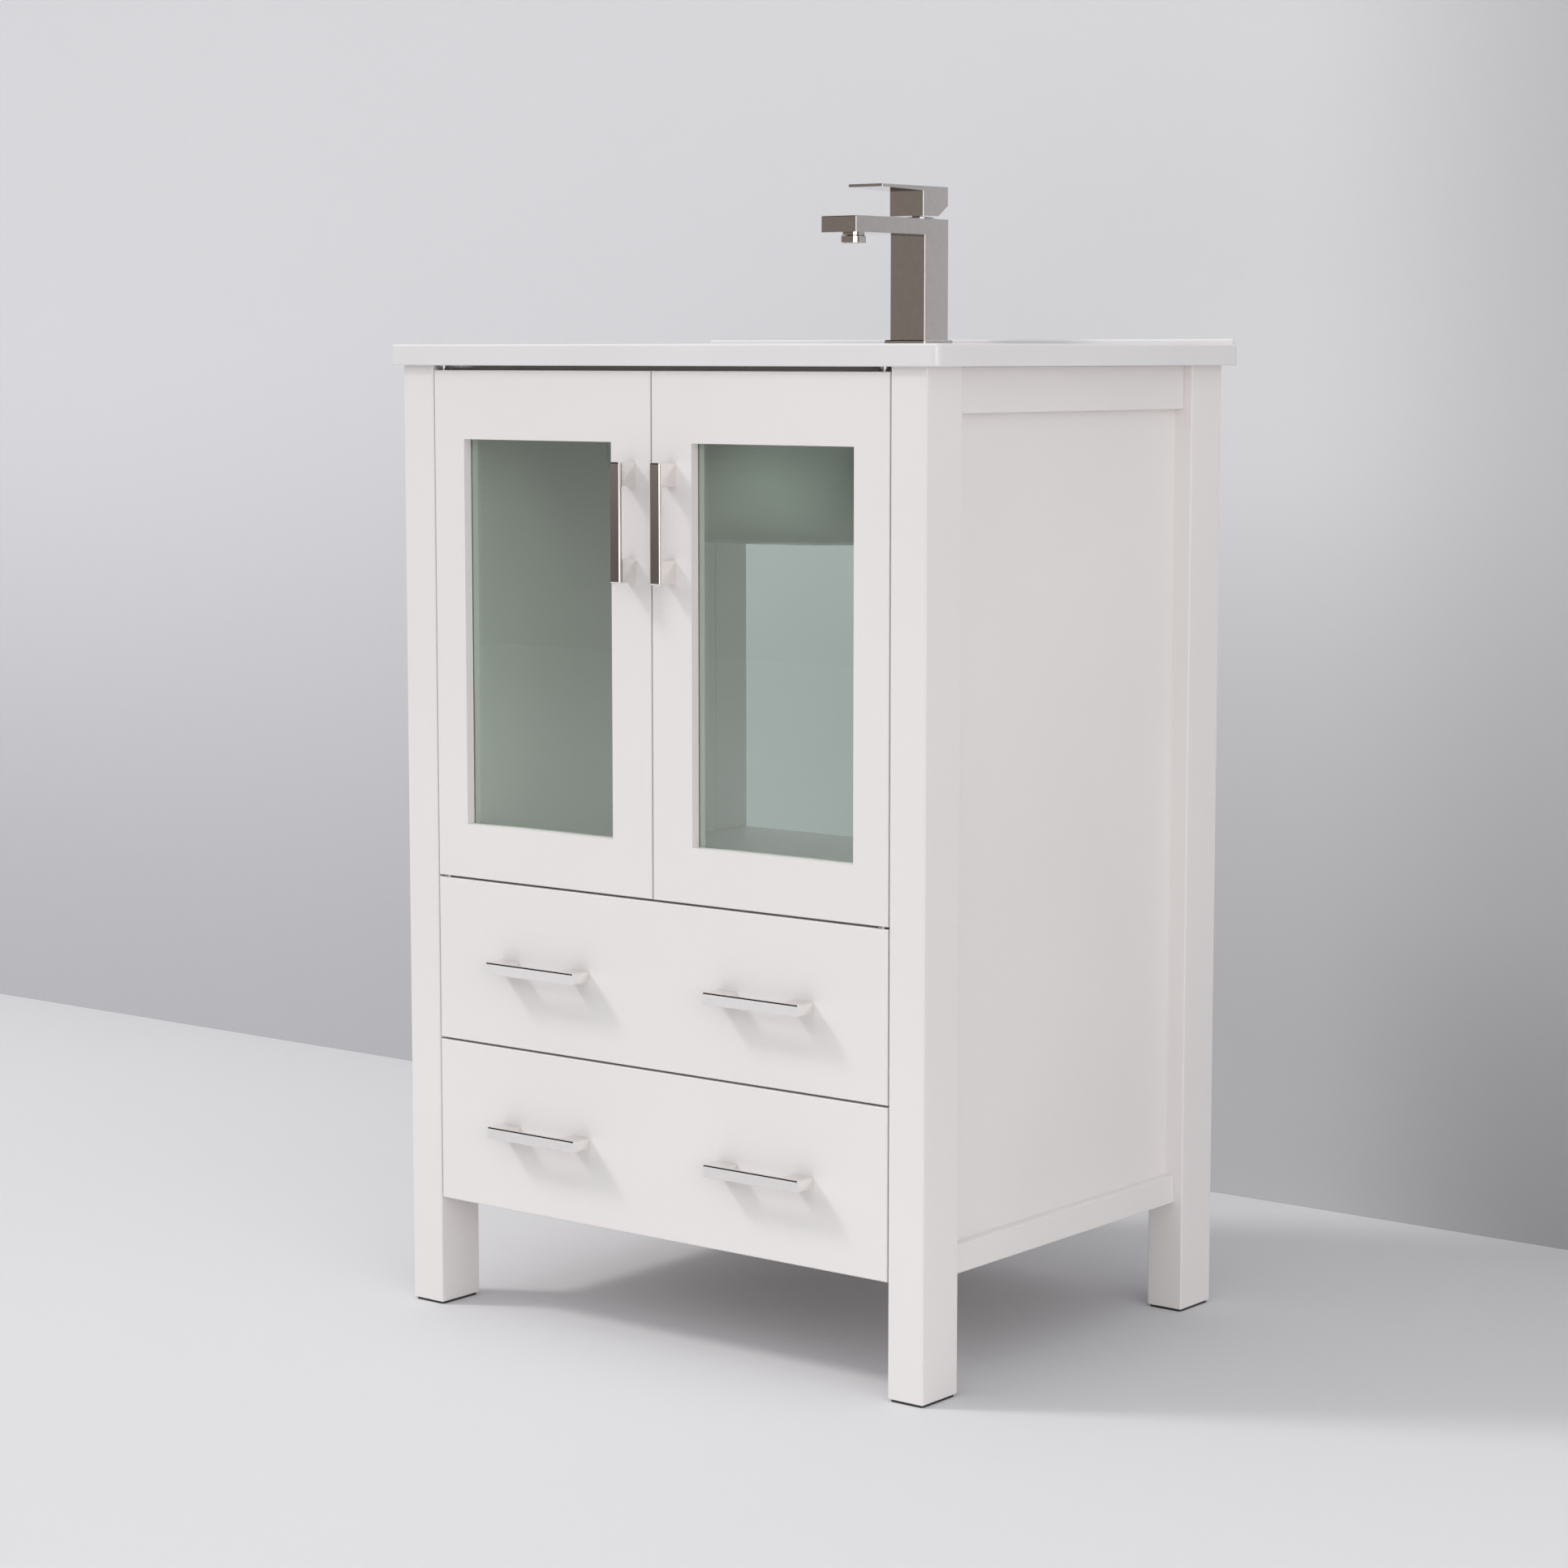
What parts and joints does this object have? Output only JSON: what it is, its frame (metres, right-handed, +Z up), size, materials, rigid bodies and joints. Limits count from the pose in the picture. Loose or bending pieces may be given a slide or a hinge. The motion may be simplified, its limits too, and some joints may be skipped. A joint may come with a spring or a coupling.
{
  "type": "bathroom vanity cabinet",
  "caption": "Free-standing bathroom vanity on square legs, with glass-panelled doors over wide drawers, a ceramic top with an integral basin and a square lever faucet.",
  "frame": {"origin": "on the floor, at the middle of the whole object's width and depth", "axes": "+Z up, -Y out of the front with the doors and drawers, +X to the right as seen from the front"},
  "size_m": [0.61, 0.4772, 1.023],
  "materials": {
    "white_lacquer": "satin white lacquer over fibreboard",
    "drawer_birch": "clear-lacquered birch plywood",
    "glazed_ceramic": "white gloss glaze",
    "polished_chrome": "polished chrome plate",
    "clear_glass": "clear float glass with a grey-green tint",
    "zinc_steel": "zinc-plated pressed steel",
    "brass_thread": "turned brass",
    "black_plastic": "moulded",
    "grey_plastic": "moulded",
    "white_plastic": "moulded"
  },
  "bodies": {
    "carcass": {"front_left_leg": "white_lacquer", "front_right_leg": "white_lacquer", "back_left_leg": "white_lacquer", "back_right_leg": "white_lacquer", "left_side_panel": "white_lacquer", "right_side_panel": "white_lacquer", "left_side_top_rail": "white_lacquer", "right_side_top_rail": "white_lacquer", "left_side_bottom_rail": "white_lacquer", "right_side_bottom_rail": "white_lacquer", "compartment_floor": "white_lacquer", "cabinet_bottom": "white_lacquer", "front_top_rail": "white_lacquer", "back_top_rail": "white_lacquer", "lower_back_panel": "white_lacquer", "corner_blocks": "white_lacquer", "countertop_sink": "glazed_ceramic", "foot_pads": "black_plastic", "faucet_base_plate": "polished_chrome", "faucet_body": "polished_chrome", "faucet_aerator": "polished_chrome", "faucet_cartridge": "grey_plastic", "faucet_mounting_stud": "brass_thread", "faucet_mounting_nut": "brass_thread", "cabinet_runners": "zinc_steel", "runner_screws": "zinc_steel", "hinge_plates": "zinc_steel", "hinge_plate_screws": "zinc_steel", "door_catches": "white_plastic", "overflow_ring": "polished_chrome"},
    "left_door": {"left_door_hinge_stile": "white_lacquer", "left_door_meeting_stile": "white_lacquer", "left_door_top_rail": "white_lacquer", "left_door_bottom_rail": "white_lacquer", "left_door_glass": "clear_glass", "left_door_glass_beads": "white_lacquer", "left_door_handle": "polished_chrome", "left_door_strike": "zinc_steel"},
    "right_door": {"right_door_hinge_stile": "white_lacquer", "right_door_meeting_stile": "white_lacquer", "right_door_top_rail": "white_lacquer", "right_door_bottom_rail": "white_lacquer", "right_door_glass": "clear_glass", "right_door_glass_beads": "white_lacquer", "right_door_handle": "polished_chrome", "right_door_strike": "zinc_steel"},
    "upper_drawer": {"upper_drawer_front": "white_lacquer", "upper_drawer_sides": "drawer_birch", "upper_drawer_back": "drawer_birch", "upper_drawer_bottom": "drawer_birch", "upper_drawer_handles": "polished_chrome", "upper_drawer_runners": "zinc_steel"},
    "lower_drawer": {"lower_drawer_front": "white_lacquer", "lower_drawer_sides": "drawer_birch", "lower_drawer_back": "drawer_birch", "lower_drawer_bottom": "drawer_birch", "lower_drawer_handles": "polished_chrome", "lower_drawer_runners": "zinc_steel"},
    "faucet_stem": {"faucet_stem": "polished_chrome"},
    "faucet_lever": {"faucet_lever": "polished_chrome"}
  },
  "joints": [
    {"name": "left_door_swing", "type": "hinge", "parent": "carcass", "child": "left_door", "pos_m": [-0.246, -0.2125, 0.62757], "axis": [0, 0, -1], "range_deg": [0, 105]},
    {"name": "right_door_swing", "type": "hinge", "parent": "carcass", "child": "right_door", "pos_m": [0.246, -0.2125, 0.62757], "axis": [0, 0, 1], "range_deg": [0, 105]},
    {"name": "upper_drawer_pull", "type": "slide", "parent": "carcass", "child": "upper_drawer", "axis": [0, -1, 0], "range_m": [0, 0.3]},
    {"name": "lower_drawer_pull", "type": "slide", "parent": "carcass", "child": "lower_drawer", "axis": [0, -1, 0], "range_m": [0, 0.3]},
    {"name": "lever_turn", "type": "hinge", "parent": "carcass", "child": "faucet_stem", "pos_m": [0, 0.1692, 1.0018], "axis": [0, 0, 1], "range_deg": [-45, 45]},
    {"name": "lever_lift", "type": "hinge", "parent": "faucet_stem", "child": "faucet_lever", "pos_m": [0, 0.1692, 1.0018], "axis": [-1, 0, 0], "range_deg": [0, 22]}
  ]
}
